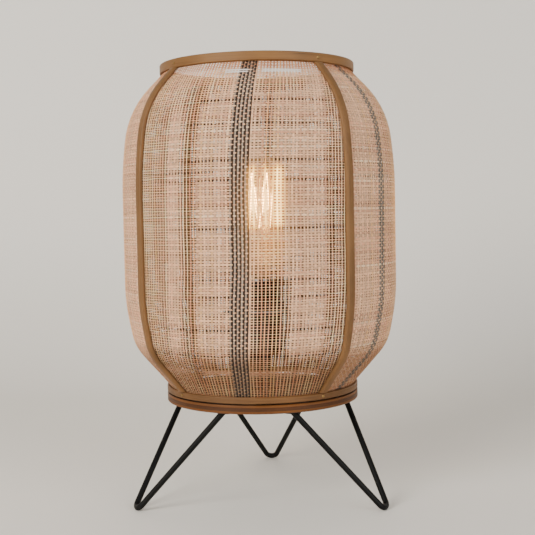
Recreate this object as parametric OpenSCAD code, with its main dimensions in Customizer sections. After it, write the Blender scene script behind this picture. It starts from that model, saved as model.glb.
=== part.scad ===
// Table lamp: a woven linen shade on a split-bamboo frame, a round plywood base
// and three hairpin legs, with a screw lampholder and a caged-filament bulb.
// Origin on the floor at the shade's axis, +Z up, the single leg at the back (+Y).

/* [Overall] */
// Height of the whole lamp, floor to the top of the shade
lamp_h = 459; // [430:1:560]
// Widest diameter of the shade
shade_d = 290; // [236:1:360]
// Diameter of the top hoop
top_hoop_d = 206; // [160:1:220]
// Diameter of the bottom hoop
bottom_hoop_d = 205; // [175:1:220]
// Angle that the shade is turned by, seen from above
shade_turn = -5; // [-45:0.5:45]

/* [Shade outline] */
// Drop from the top of the shade to its shoulder
shoulder_drop = 48.5; // [40:0.5:60]
// How far the shoulder stands in from the widest part
shoulder_in = 7; // [3:0.5:16]
// Drop from the top of the shade to the straight belly
belly_drop = 114; // [90:1:120]
// Rise from the bottom of the shade to its lower corner
corner_rise = 49.5; // [40:0.5:60]
// How far the lower corner stands in from the widest part
corner_in = 9; // [4:0.5:16]
// Rise from the bottom of the shade to the straight belly
belly_rise = 96; // [85:1:105]

/* [Hoops and ribs] */
// Height of the top hoop
top_hoop_h = 9.5; // [7:0.5:14]
// Height of the bottom hoop
bottom_hoop_h = 7; // [6:0.5:12]
// Thickness of the outer hoop's strip
hoop_t = 3.2; // [2:0.1:5]
// Thickness of the inner hoop's strip
inner_hoop_t = 2.6; // [1.5:0.1:4]
// Width of a rib
rib_w = 9.5; // [6:0.5:14]
// Thickness of a rib
rib_t = 4.2; // [3:0.1:6]
// Thickness of the fabric with its weave
fabric_t = 0.8; // [0.5:0.1:1.5]
// Diameter of the pins that hold the hoops together
pin_d = 1.4; // [1:0.1:2]

/* [Base and legs] */
// Diameter of the base plate
base_d = 205; // [160:1:240]
// Thickness of the base plate
base_t = 9; // [6:0.5:16]
// Height of the base plate's underside above the floor
leg_h = 104; // [80:1:140]
// Diameter of the leg's rod
rod_d = 6; // [5:0.5:8]
// Radius from the axis to the rod at a foot
foot_r = 146; // [110:1:170]
// Distance from the base plate's rim in to a rod's upper end
leg_inset = 14.5; // [9:0.5:30]
// Angle at the axis between a leg's two upper ends
leg_spread = 75; // [50:1:90]
// Radius of the bend at a foot, at the middle of the rod
foot_bend_r = 7; // [5:0.5:12]
// Diameter of the round tab that a rod is welded to
tab_d = 18; // [14:1:22]
// Thickness of the tab
tab_t = 2.5; // [1.5:0.1:4]

/* [Stem and lampholder] */
// Length of the stem between the base plate and the lampholder
stem_h = 38; // [28:1:60]
// Outer diameter of the stem's cover tube
stem_d = 19; // [15:0.5:24]
// Outer diameter of the threaded tube inside the stem
nipple_d = 10; // [8:0.5:12]
// Bore of the cord bush under the base
cord_bore_d = 6.8; // [5:0.1:7]
// Outer diameter of the lampholder's lower cap
holder_d = 46; // [44:0.5:52]
// Height of the lampholder's lower cap
holder_cap_h = 44; // [36:1:55]
// Outer diameter of the lampholder's threaded skirt
skirt_d = 41; // [38:0.5:42]
// Height of the threaded skirt
skirt_h = 35; // [30:1:42]
// Wall of the shade ring nut
nut_wall = 4.7; // [3:0.1:7]
// Height of the shade ring nut
nut_h = 9; // [6:0.5:12]
// Diameter of the wire that the shade's fitter is made of
fitter_wire_d = 4; // [3:0.5:5]
// Radius at which the fitter's arms bend down
fitter_bend_r = 47; // [40:1:60]
// Angle that the fitter is turned by, seen from above
fitter_turn = 6; // [-60:0.5:60]

/* [Bulb] */
// Widest diameter of the bulb
bulb_d = 64; // [45:1:64]
// Length of the bulb's glass
glass_h = 138; // [110:1:150]
// Height of the filament cage
cage_h = 62; // [40:1:66]
// Diameter of the filament cage
cage_d = 33; // [20:1:38]
// Diameter of the bulb's screw cap
cap_d = 26; // [25:0.5:26]

/* [Hidden] */
$fn = 96;

// Clearances
skin_gap = 0.1;
thread_gap = 0.05;
slip_gap = 0.15;
free_gap = 0.35;
shade_lift = 1;

// Levels, from the floor up
base_top = leg_h + base_t;
shade_z = base_top + shade_lift;
holder_z = base_top + stem_h;
shoulder_z = holder_z + holder_cap_h;

// Hoops: the fabric is clamped between an outer and an inner strip
top_clamp_r = top_hoop_d / 2 - hoop_t;
bottom_clamp_r = bottom_hoop_d / 2 - hoop_t;
clamp_gap = fabric_t + 2 * skin_gap;
top_inner_r = top_clamp_r - clamp_gap;
bottom_inner_r = bottom_clamp_r - clamp_gap;
top_hoop_z = lamp_h - top_hoop_h;
inner_hoop_step = 0.7;
strip_round = 1.2;
pin_head_d = 3.2;
pin_head_t = 0.8;
pin_hole_d = pin_d + 0.1;
top_pin_z = lamp_h - top_hoop_h / 2;
bottom_pin_z = shade_z + bottom_hoop_h / 2;

// Shade outline, as [radius, height] from the bottom up
belly_r = shade_d / 2;
edge_drop = strip_round / 3;
low_end = [bottom_clamp_r - skin_gap, shade_z + bottom_hoop_h - edge_drop];
low_corner = [belly_r - corner_in, shade_z + corner_rise];
low_belly = [belly_r, shade_z + belly_rise];
high_belly = [belly_r, lamp_h - belly_drop];
shoulder = [belly_r - shoulder_in, lamp_h - shoulder_drop];
high_end = [top_clamp_r - skin_gap, top_hoop_z + edge_drop];
low_side = norm(low_belly - low_corner);
high_side = norm(shoulder - high_belly);

// Ribs and panels
rib_count = 4;
rib_step = 360 / rib_count;
seam_w = pin_hole_d + 0.5;
rib_foot = 0.9;

// Legs
leg_count = 3;
leg_top_r = base_d / 2 - leg_inset;
half_spread = leg_top_r * sin(leg_spread / 2);
leg_mid_r = leg_top_r * cos(leg_spread / 2);
leg_run = foot_r - leg_mid_r;
leg_rise = leg_h - rod_d / 2;
leg_slope = atan2(leg_run, leg_rise);
leg_len = norm([leg_run, leg_rise]);
screw_d = 3;
screw_depth = 6;
screw_head_d = 6;
screw_head_t = 1.8;
screw_out = 4.5;

// Stem
nipple_bore_d = cord_bore_d + 0.4;
nipple_drop = 9;
nipple_rise = 7;
washer_d = 24;
washer_t = 1.6;
lock_nut_w = 17;
lock_nut_t = 4;
bush_d = 15;
bush_h = 7;
bush_lap = 3;
flange_d = 40;
flange_t = 3;

// Lampholder
skirt_gap = 0.3;
holder_bore_d = skirt_d + 2 * skirt_gap;
holder_floor = 4;
core_h = 9;
core_d = holder_bore_d - 2 * skirt_gap;
core_z = shoulder_z - core_h;
sleeve_t = 0.5;
sleeve_in = 4;
sleeve_d = cap_d + 4 * free_gap;
skirt_bore_d = sleeve_d + 2 * sleeve_t + 0.2;
thread_pitch = 2.5;
thread_depth = 0.9;
nut_bore_d = skirt_d + 2 * free_gap;
nut_d = nut_bore_d + 2 * nut_wall;
nut_lip = 3;
nut_grips = 18;
fitter_t = 1.5;
fitter_d = nut_d + 2 * nut_lip + 3;
fitter_z = shoulder_z;
ring_washer_t = 1.2;
ring_washer_z = fitter_z + fitter_t + free_gap;
nut_z = ring_washer_z + ring_washer_t + free_gap;

// Fitter arms
arm_count = 3;
arm_bend_cut = 4;
fitter_foot_r = 78;
fitter_pad_t = 1.5;
fitter_pad_w = 12;
pad_r = bottom_inner_r - inner_hoop_t;
fitter_wire_z = fitter_z - fitter_wire_d / 2;
fitter_foot_z = shade_z + bottom_hoop_h / 2;
rivet_d = 2;
rivet_head_d = 4;
rivet_head_t = 0.8;
rivet_edge = 1.8;
rivet_angle = asin((fitter_pad_w / 2 - rivet_edge) / bottom_inner_r);

// Bulb's screw cap
tip_d = 9;
tip_t = 1.5;
insulator_h = 4.5;
cap_h = 21;
cap_rim = 3;
cap_t = 0.4;
cap_ridge = 0.9;
cap_pitch = 3.63;
contact_h = 10;
bulb_z = shoulder_z + contact_h;
insulator_z = bulb_z + tip_t;
cap_z = insulator_z + insulator_h;

// Bulb's glass
glass_in = 4;
glass_t = 0.9;
glass_floor = 2;
neck_r = cap_d / 2 - cap_ridge - cap_t - skin_gap;
neck_h = 20;
dome_h = 42;
hip_drop = 8;
glass_z = cap_z + cap_h - glass_in;
dome_z = glass_h - dome_h;

// Filament cage, hung from the top of a glass rod on a pressed glass stalk
strands = 6;
filament_wire_d = 0.8;
hook_wire_d = 0.5;
cage_drop = 19;
cage_taper = 4;
cage_low_r = cage_d / 2 - cage_taper;
cage_z = glass_z + glass_h - cage_drop - cage_h;
hub_d = 4.4;
hub_t = 2;
low_hub_drop = 6;
high_hub_drop = 8;
low_hub_z = cage_z - low_hub_drop;
high_hub_z = cage_z + cage_h - high_hub_drop;
mount_d = 7;
mount_rod_d = 2.6;
mount_z = glass_z + glass_floor;
stalk_h = low_hub_z - mount_z;
flare_h = 0.28 * stalk_h;
press_h = 0.78 * stalk_h;
lead_d = 0.8;
lead_foot_x = 2.4;
lead_knee_x = 6;
lead_knee_z = mount_z + 0.88 * stalk_h;

function unit(v) = v / norm(v);
function flip(list) = [for (i = [len(list) - 1:-1:0]) list[i]];
function on_line(a, b, z) = a + (b - a) * (z - a.y) / (b.y - a.y);

// Arc that rounds the corner b between a and c, from cut before b to cut after it
function corner(a, b, c, cut, n = 6) =
    let (u = unit(a - b), v = unit(c - b), p = b + u * cut, q = b + v * cut)
    let (half = acos(u * v) / 2, r = cut * tan(half), mid = b + unit(u + v) * cut / cos(half))
    let (p0 = p - mid, q0 = q - mid, from = atan2(p0.y, p0.x))
    let (turn = atan2(p0.x * q0.y - p0.y * q0.x, p0 * q0))
    [for (i = [0:n]) mid + r * [cos(from + turn * i / n), sin(from + turn * i / n)]];

// Right-hand normal of a bent line at point i
function normal_at(line, i) =
    let (a = line[max(i - 1, 0)], b = line[min(i + 1, len(line) - 1)], t = unit(b - a))
    [t.y, -t.x];
function moved(line, d) = [for (i = [0:len(line) - 1]) line[i] + d * normal_at(line, i)];

// The bent part of the shade's wall between the two hoops
wall_bends = concat(
    corner(low_end, low_corner, low_belly, 0.28 * low_side, 5),
    corner(low_corner, low_belly, high_belly, 0.43 * low_side, 5),
    corner(low_belly, high_belly, shoulder, 0.34 * high_side, 5),
    corner(high_belly, shoulder, high_end, 0.5 * high_side, 7)
);
fabric_line = concat(
    [[low_end.x, shade_z + inner_hoop_step], low_end],
    wall_bends,
    [high_end, [high_end.x, lamp_h - inner_hoop_step]]
);
rib_line = concat(
    [on_line(low_end, low_corner, shade_z + bottom_hoop_h + skin_gap)],
    wall_bends,
    [on_line(shoulder, high_end, top_hoop_z - skin_gap)]
);

// Turns a piece drawn towards +X so that it points at azimuth a
module at_azimuth(a) {
    rotate([0, 0, a - 90]) children();
}

module ring(od, id, h) {
    difference() {
        cylinder(d = od, h = h);
        translate([0, 0, -1]) cylinder(d = id, h = h + 2);
    }
}

// Rectangle from the origin with its four corners rounded
module round_bar(w, h, r) {
    translate([r, 0]) square([w - 2 * r, h]);
    translate([0, r]) square([w, h - 2 * r]);
    for (x = [r, w - r]) for (y = [r, h - r]) translate([x, y]) circle(r = r);
}

// Straight round bar between two points
module bar(a, b, d) {
    v = b - a;
    translate(a)
        rotate([0, acos(v.z / norm(v)), atan2(v.y, v.x)])
            cylinder(d = d, h = norm(v), $fn = 48);
}

// ---- Base ----

module base_plate() {
    ply = base_t / 3;
    groove = 0.5;
    color("#b98f5f") difference() {
        rotate_extrude($fn = 180) difference() {
            translate([nipple_d / 2 + slip_gap, leg_h])
                round_bar(base_d / 2 - nipple_d / 2 - slip_gap, base_t, 1);
            for (k = [1, 2]) translate([base_d / 2, leg_h + k * ply]) circle(d = groove, $fn = 24);
            translate([0, leg_h - 1]) square([nipple_d / 2 + slip_gap, base_t + 2]);
        }
        for (k = [1:leg_count]) for (s = [-1, 1]) screw_place(k, s)
            cylinder(d = screw_d, h = screw_depth + 0.5, $fn = 32);
    }
}

// Azimuth of a leg: two at the front corners, one at the back
function leg_azimuth(k) = 60 + 120 * (k - 1);

// Centre of a rod's upper end, on the underside of the base plate
module tab_place(k, s) {
    at_azimuth(leg_azimuth(k)) translate([leg_mid_r, s * half_spread, leg_h]) children();
}

module screw_place(k, s) {
    tab_place(k, s) translate([-screw_out, -s * screw_out, 0]) children();
}

// One rod bent into a narrow V: drawn flat with the foot at the origin, opening up +Z
module hairpin_rod() {
    over = 8;
    half_angle = half_angle_for(6);
    bend_z = foot_bend_r;
    rise = (leg_len + over) - bend_z + foot_bend_r * sin(half_angle);
    translate([0, 0, bend_z]) {
        rotate([90, 0, 90]) rotate([0, 0, 180 + half_angle])
            rotate_extrude(angle = 180 - 2 * half_angle, $fn = 96)
                translate([foot_bend_r, 0]) circle(d = rod_d, $fn = 32);
        for (s = [-1, 1])
            rotate([-s * half_angle, 0, 0]) translate([0, s * foot_bend_r, 0])
                cylinder(d = rod_d, h = rise / cos(half_angle), $fn = 32);
    }
}

// Half the angle of the V, so that the rods meet the tabs after the bend at the foot
function half_angle_for(n) =
    n == 0 ? atan2(half_spread, leg_len)
           : let (a = half_angle_for(n - 1))
             atan2(half_spread - foot_bend_r / cos(a), leg_len - foot_bend_r);

module hairpin_leg(k) {
    color("#1b1b1c") difference() {
        union() {
            intersection() {
                at_azimuth(leg_azimuth(k)) translate([foot_r, 0, rod_d / 2])
                    rotate([0, -leg_slope, 0]) hairpin_rod();
                translate([0, 0, -1]) cylinder(d = 3 * foot_r, h = leg_h + 1);
            }
            for (s = [-1, 1]) tab_place(k, s) translate([-screw_out / 2, -s * screw_out / 2, -tab_t])
                cylinder(d = tab_d, h = tab_t, $fn = 48);
        }
        for (s = [-1, 1]) screw_place(k, s) translate([0, 0, -tab_t - 1])
            cylinder(d = screw_d + 0.4, h = tab_t + 2, $fn = 32);
    }
}

module leg_screws() {
    color("#232325") for (k = [1:leg_count]) for (s = [-1, 1]) screw_place(k, s) {
        difference() {
            translate([0, 0, -tab_t - screw_head_t])
                cylinder(d = screw_head_d, h = screw_head_t, $fn = 32);
            for (a = [0, 90]) rotate([0, 0, a])
                translate([-1.7, -0.4, -tab_t - screw_head_t - 1]) cube([3.4, 0.8, 1.9]);
        }
        translate([0, 0, -tab_t]) cylinder(d = screw_d, h = tab_t + screw_depth, $fn = 32);
    }
}

// ---- Stem ----

module nipple() {
    color("#c9b27c") translate([0, 0, leg_h - nipple_drop])
        ring(nipple_d, nipple_bore_d, nipple_drop + base_t + stem_h + nipple_rise);
}

module lock_washer() {
    color("#9c9c9c") translate([0, 0, leg_h - washer_t])
        ring(washer_d, nipple_d + 2 * slip_gap, washer_t);
}

module lock_nut() {
    color("#8d8d8d") translate([0, 0, leg_h - washer_t - lock_nut_t]) difference() {
        cylinder(d = lock_nut_w / cos(30), h = lock_nut_t, $fn = 6);
        translate([0, 0, -1]) cylinder(d = nipple_d + 2 * thread_gap, h = lock_nut_t + 2);
    }
}

module cord_bush() {
    bush_z = leg_h - nipple_drop - bush_h + bush_lap;
    color("#161616") translate([0, 0, bush_z]) difference() {
        union() {
            cylinder(d = bush_d, h = bush_h - 1);
            cylinder(d = bush_d - 2, h = bush_h);
        }
        translate([0, 0, -1]) cylinder(d = cord_bore_d, h = bush_h + 2);
        translate([0, 0, bush_h - bush_lap]) cylinder(d = nipple_d + 2 * thread_gap, h = bush_lap + 1);
    }
}

module stem_flange() {
    color("#171717") translate([0, 0, base_top]) difference() {
        union() {
            cylinder(d = flange_d, h = flange_t - 1);
            translate([0, 0, flange_t - 1]) cylinder(d1 = flange_d, d2 = flange_d - 4, h = 1);
        }
        translate([0, 0, -1]) cylinder(d = nipple_d + 2 * slip_gap, h = flange_t + 2);
    }
}

module stem_tube() {
    color("#171717") translate([0, 0, base_top + flange_t])
        ring(stem_d, stem_d - 3, stem_h - flange_t);
}

// ---- Lampholder ----

module holder_cap() {
    edge = 3;
    color("#121212") translate([0, 0, holder_z]) difference() {
        union() {
            cylinder(d1 = holder_d - 2 * edge, d2 = holder_d, h = edge);
            translate([0, 0, edge]) cylinder(d = holder_d, h = holder_cap_h - edge);
        }
        translate([0, 0, holder_floor]) cylinder(d = holder_bore_d, h = holder_cap_h);
        translate([0, 0, -1]) cylinder(d = nipple_d + 2 * thread_gap, h = holder_floor + 2);
        for (z = [holder_cap_h - 4, holder_cap_h - 8]) translate([0, 0, z])
            rotate_extrude() translate([holder_d / 2, 0]) circle(d = 0.9, $fn = 24);
    }
}

module terminal_places() {
    for (s = [-1, 1]) translate([s * core_d / 3.4, 0, core_z]) children();
}

module holder_core() {
    color("#e8e2d4") difference() {
        translate([0, 0, core_z]) cylinder(d = core_d, h = core_h);
        translate([0, 0, core_z - 1]) cylinder(d = 4, h = core_h + 2, $fn = 32);
        terminal_places() translate([0, 0, -1]) cylinder(d = 3, h = core_h - 2, $fn = 32);
    }
}

module centre_contact() {
    color("#c9a860") translate([0, 0, shoulder_z]) {
        cylinder(d = 8, h = 1, $fn = 48);
        cylinder(d1 = 5, d2 = 4, h = bulb_z - shoulder_z - free_gap, $fn = 48);
    }
}

module side_contacts() {
    color("#c9a860") for (a = [0, 180]) rotate([0, 0, a])
        translate([sleeve_d / 2 - 4, -3, shoulder_z]) {
            cube([3.4, 6, 0.8]);
            translate([2.6, 0, 0]) cube([0.8, 6, 3]);
        }
}

module terminal_screws() {
    color("#c0c0c0") terminal_places() difference() {
        union() {
            translate([0, 0, -2.5]) cylinder(d = 6, h = 2.5, $fn = 32);
            cylinder(d = 3, h = core_h - 4, $fn = 32);
        }
        translate([-4, -0.5, -3]) cube([8, 1, 1.4]);
    }
}

module screw_sleeve() {
    color("#c9a860") translate([0, 0, shoulder_z + sleeve_in])
        ring(sleeve_d + 2 * sleeve_t, sleeve_d, skirt_h - 2 * sleeve_in);
}

module holder_skirt() {
    turns = floor((skirt_h - 6) / thread_pitch);
    color("#121212") difference() {
        translate([0, 0, shoulder_z]) cylinder(d = skirt_d, h = skirt_h);
        translate([0, 0, shoulder_z - 1]) cylinder(d = skirt_bore_d, h = skirt_h + 2);
        rotate_extrude() for (k = [0:turns])
            translate([skirt_d / 2, shoulder_z + 3 + k * thread_pitch])
                rotate([0, 0, 45]) square(thread_depth * sqrt(2), center = true);
    }
}

module fitter_places() {
    for (k = [0:arm_count - 1]) at_azimuth(fitter_turn + k * 360 / arm_count) children();
}

module fitter_ring() {
    color("#2a2a2b") translate([0, 0, fitter_z]) ring(fitter_d, skirt_d + 2 * slip_gap, fitter_t);
}

// Wires welded under the ring, bent down and out again to the bottom hoop
module fitter_arms() {
    start = [holder_d / 2 + 1, fitter_wire_z];
    bend = [fitter_bend_r, fitter_wire_z];
    foot = [fitter_foot_r, fitter_foot_z];
    end = [pad_r - fitter_pad_t - skin_gap, fitter_foot_z];
    bends = concat(corner(start, bend, foot, arm_bend_cut), corner(bend, foot, end, arm_bend_cut));
    route = concat([start], bends, [end]);
    color("#2a2a2b") fitter_places() flat_wire(route, fitter_wire_d);
}

// Round wire along a route in the vertical plane through +X
module flat_wire(route, d) {
    n = len(route);
    m = 12;
    rings = [for (i = [0:n - 1]) let (v = normal_at(route, i)) for (j = [0:m - 1])
        let (c = d / 2 * cos(j * 360 / m), s = d / 2 * sin(j * 360 / m))
        [route[i].x + v.x * c, s, route[i].y + v.y * c]];
    tube(rings, n, m);
}

// Closed skin over n rings of m points each
module tube(rings, n, m) {
    sides = [for (i = [0:n - 2]) for (j = [0:m - 1])
        [i * m + j, i * m + (j + 1) % m, (i + 1) * m + (j + 1) % m, (i + 1) * m + j]];
    caps = [flip([for (j = [0:m - 1]) j]), [for (j = [0:m - 1]) (n - 1) * m + j]];
    polyhedron(rings, concat(sides, caps));
}

module fitter_pads() {
    color("#2a2a2b") difference() {
        fitter_places() intersection() {
            translate([0, 0, shade_z + inner_hoop_step])
                ring(2 * pad_r, 2 * (pad_r - fitter_pad_t), bottom_hoop_h - 2 * inner_hoop_step);
            translate([0, -fitter_pad_w / 2, 0]) cube([2 * pad_r, fitter_pad_w, lamp_h]);
        }
        rivet_holes();
    }
}

// Two rivets beside each fitter arm, through its pad and the inner hoop
module rivet_places() {
    for (k = [0:arm_count - 1]) for (s = [-1, 1])
        at_azimuth(fitter_turn + k * 360 / arm_count + s * rivet_angle)
            translate([pad_r, 0, fitter_foot_z]) rotate([0, 90, 0]) children();
}

module rivet_holes() {
    rivet_places() translate([0, 0, -2 * fitter_pad_t])
        cylinder(d = rivet_d, h = 2 * fitter_pad_t + inner_hoop_t + clamp_gap / 2, $fn = 32);
}

module fitter_rivets() {
    color("#8f8f8f") rivet_places() {
        translate([0, 0, -fitter_pad_t - skin_gap])
            cylinder(d = rivet_d, h = skin_gap + fitter_pad_t + inner_hoop_t, $fn = 32);
        translate([0, 0, -fitter_pad_t - skin_gap - rivet_head_t])
            cylinder(d1 = rivet_head_d - 1, d2 = rivet_head_d, h = rivet_head_t, $fn = 32);
    }
}

module ring_washer() {
    color("#9a9a9a") translate([0, 0, ring_washer_z]) ring(nut_d - 2, nut_bore_d, ring_washer_t);
}

module shade_nut() {
    color("#141414") translate([0, 0, nut_z]) difference() {
        union() {
            cylinder(d = nut_d, h = nut_h);
            cylinder(d = nut_d + 2 * nut_lip, h = 2);
        }
        translate([0, 0, -1]) cylinder(d = nut_bore_d, h = nut_h + 2);
        for (k = [1:nut_grips]) rotate([0, 0, k * 360 / nut_grips]) translate([nut_d / 2, 0, 2.5])
            cylinder(d = 1.6, h = nut_h, $fn = 24);
    }
}

// ---- Shade frame ----

module pin_places(clamp_r, z) {
    for (k = [1:rib_count]) at_azimuth(rib_azimuth(k))
        translate([clamp_r + hoop_t, 0, z]) rotate([0, -90, 0]) children();
}

module hoop(outer_r, t, z, h, clamp_r, pin_z) {
    difference() {
        rotate_extrude($fn = 180)
            translate([outer_r - t, z]) round_bar(t, h, min(strip_round, t / 2 - 0.05));
        pin_places(clamp_r, pin_z) translate([0, 0, -2])
            cylinder(d = pin_hole_d, h = 2 + hoop_t + clamp_gap + inner_hoop_t + 2, $fn = 24);
    }
}

module top_hoop() {
    color("#c39a68") hoop(top_hoop_d / 2, hoop_t, top_hoop_z, top_hoop_h, top_clamp_r, top_pin_z);
}

module top_hoop_inner() {
    color("#bd935f") hoop(top_inner_r, inner_hoop_t, top_hoop_z + inner_hoop_step,
        top_hoop_h - 2 * inner_hoop_step, top_clamp_r, top_pin_z);
}

module bottom_hoop() {
    color("#c39a68")
        hoop(bottom_hoop_d / 2, hoop_t, shade_z, bottom_hoop_h, bottom_clamp_r, bottom_pin_z);
}

module bottom_hoop_inner() {
    color("#bd935f") difference() {
        hoop(bottom_inner_r, inner_hoop_t, shade_z + inner_hoop_step,
            bottom_hoop_h - 2 * inner_hoop_step, bottom_clamp_r, bottom_pin_z);
        rivet_holes();
    }
}

module hoop_pins() {
    shank = hoop_t + clamp_gap + inner_hoop_t;
    color("#a98d52") for (end = [[top_clamp_r, top_pin_z], [bottom_clamp_r, bottom_pin_z]])
        pin_places(end.x, end.y) {
            cylinder(d = pin_d, h = shank, $fn = 24);
            translate([0, 0, -pin_head_t])
                cylinder(d1 = pin_head_d - 1, d2 = pin_head_d, h = pin_head_t, $fn = 24);
        }
}

// Azimuth of a rib: the front panel lies between the first and the last
function rib_azimuth(k) = shade_turn + rib_step * (k - 0.5);

// Half-round section of a rib, as [across, outwards], flat on the fabric
rib_section = concat(
    [[-rib_w / 2 + 0.8, skin_gap], [rib_w / 2 - 0.8, skin_gap]],
    [for (a = [0:15:180]) [rib_w / 2 * sign(cos(a)) * pow(abs(cos(a)), 0.7),
        rib_foot + (rib_t - rib_foot) * pow(abs(sin(a)), 0.7)]]
);

// Rib number k, swept along the wall's outline; its ends are cut level with the hoops
module rib(k) {
    n = len(rib_line);
    rings = [for (i = [0:n - 1])
        let (v = normal_at(rib_line, i), out = (i == 0 || i == n - 1) ? [1 / v.x, 0] : v)
        for (q = rib_section)
            [rib_line[i].x + out.x * q.y, q.x, rib_line[i].y + out.y * q.y]];
    color("#b98a55") at_azimuth(rib_azimuth(k)) tube(rings, n, len(rib_section));
}

// Fabric panel number k, between ribs k - 1 and k
module fabric_panel(k) {
    seam = 2 * asin(seam_w / 2 / top_inner_r);
    color("#cdb49c") at_azimuth(rib_azimuth(k) - rib_step + seam / 2)
        rotate_extrude(angle = rib_step - seam, $fn = 180)
            polygon(concat(fabric_line, flip(moved(fabric_line, -fabric_t))));
}

// ---- Bulb ----

module bulb_tip() {
    color("#b9a26a") translate([0, 0, bulb_z]) {
        cylinder(d1 = tip_d - 2, d2 = tip_d, h = 0.8, $fn = 48);
        translate([0, 0, 0.8]) cylinder(d = tip_d, h = tip_t - 0.8, $fn = 48);
    }
}

module bulb_insulator() {
    color("#101015") translate([0, 0, insulator_z])
        cylinder(d1 = tip_d + 1, d2 = cap_d - 2 * cap_ridge - 1, h = insulator_h);
}

module bulb_cap() {
    bore_r = neck_r + skin_gap;
    ridges = [for (z = [0:cap_pitch / 8:cap_h - cap_rim - 0.3])
        [cap_d / 2 - cap_ridge / 2 + cap_ridge / 2 * sin(360 * z / cap_pitch), z]];
    top = [[cap_d / 2, cap_h - cap_rim], [cap_d / 2, cap_h], [bore_r, cap_h], [bore_r, 0]];
    color("#c7c4bb") translate([0, 0, cap_z]) rotate_extrude() polygon(concat(ridges, top));
}

// Outline of the glass, set in by t, from the neck to the top
function glass_line(t) =
    let (side_r = bulb_d / 2 - t, neck = [neck_r - t, 0], bend = [neck_r - t, neck_h])
    let (hip = [side_r, dome_z - hip_drop], side = [side_r, dome_z])
    concat(
        [neck],
        corner(neck, bend, hip, 0.38 * neck_h, 6),
        corner(bend, hip, side, hip_drop / 2, 5),
        [for (a = [0:10:80]) [side_r * cos(a), dome_z + (dome_h - t) * sin(a)]],
        [[0, glass_h - t]]
    );

module bulb_glass() {
    inner = glass_line(glass_t);
    cut = concat([[0, glass_floor], [inner[0].x, glass_floor]], [for (i = [1:len(inner) - 1]) inner[i]]);
    color([0.95, 0.8, 0.6, 0.4]) translate([0, 0, glass_z]) rotate_extrude() difference() {
        polygon(concat([[0, 0]], glass_line(0)));
        polygon(cut);
    }
}

module bulb_mount() {
    color([0.9, 0.9, 0.9, 0.6]) {
        translate([0, 0, mount_z]) cylinder(d1 = 2 * neck_r - 4, d2 = mount_d, h = flare_h);
        translate([0, 0, mount_z]) cylinder(d = mount_d, h = press_h);
        translate([0, 0, mount_z]) cylinder(d = mount_rod_d, h = high_hub_z - mount_z, $fn = 48);
        for (z = [low_hub_z, high_hub_z]) translate([0, 0, z - hub_t / 2])
            cylinder(d = hub_d, h = hub_t, $fn = 48);
    }
}

// Hooks of the cage: the filament runs up and down between them
function around(r, k, z) = [r * cos(k * 360 / strands), r * sin(k * 360 / strands), z];
function high_hook(k) = around(cage_d / 2, k, cage_z + cage_h);
function low_hook(k) = around(cage_low_r, k + 0.5, cage_z);

// One straight strand, stopped short of the hook at each end
module strand(a, b) {
    v = unit(b - a) * (hook_wire_d + filament_wire_d);
    bar(a + v, b - v, filament_wire_d);
}

module filament() {
    color("#ffb347") for (k = [0:strands - 2]) {
        strand(high_hook(k), low_hook(k));
        strand(low_hook(k), high_hook(k + 1));
    }
}

module filament_hooks() {
    out = hub_d / 2 + skin_gap;
    color("#9b9b98") {
        for (k = [0:strands - 1]) bar(around(out, k, high_hub_z), high_hook(k), hook_wire_d);
        for (k = [0:strands - 2]) bar(around(out, k + 0.5, low_hub_z), low_hook(k), hook_wire_d);
    }
}

// The two leads that carry the current to the cage's ends
module lead_wires() {
    color("#b08d57") for (s = [-1, 1]) {
        knee = [s * lead_knee_x, 0, lead_knee_z];
        bar([s * lead_foot_x, 0, mount_z + press_h + skin_gap], knee, lead_d);
        translate(knee) sphere(d = lead_d * 1.3, $fn = 24);
        bar(knee, [s * (cage_low_r - 2), 0, cage_z - low_hub_drop / 2], lead_d);
    }
}

base_plate();
hairpin_leg(1);  // hairpin_leg_1
hairpin_leg(2);  // hairpin_leg_2
hairpin_leg(3);  // hairpin_leg_3
leg_screws();
nipple();
lock_nut();
lock_washer();
cord_bush();
stem_flange();
stem_tube();
holder_cap();
holder_core();
centre_contact();
side_contacts();
terminal_screws();
screw_sleeve();
holder_skirt();
fitter_ring();
fitter_arms();
fitter_pads();
fitter_rivets();
ring_washer();
shade_nut();
top_hoop();
top_hoop_inner();
bottom_hoop();
bottom_hoop_inner();
hoop_pins();
rib(1);  // rib_1
rib(2);  // rib_2
rib(3);  // rib_3
rib(4);  // rib_4
fabric_panel(1);  // fabric_panel_1
fabric_panel(2);  // fabric_panel_2
fabric_panel(3);  // fabric_panel_3
fabric_panel(4);  // fabric_panel_4
bulb_tip();
bulb_insulator();
bulb_cap();
bulb_glass();
bulb_mount();
lead_wires();
filament_hooks();
filament();
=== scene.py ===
import math

import bpy
import numpy as np
from mathutils import Matrix, Vector


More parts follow.
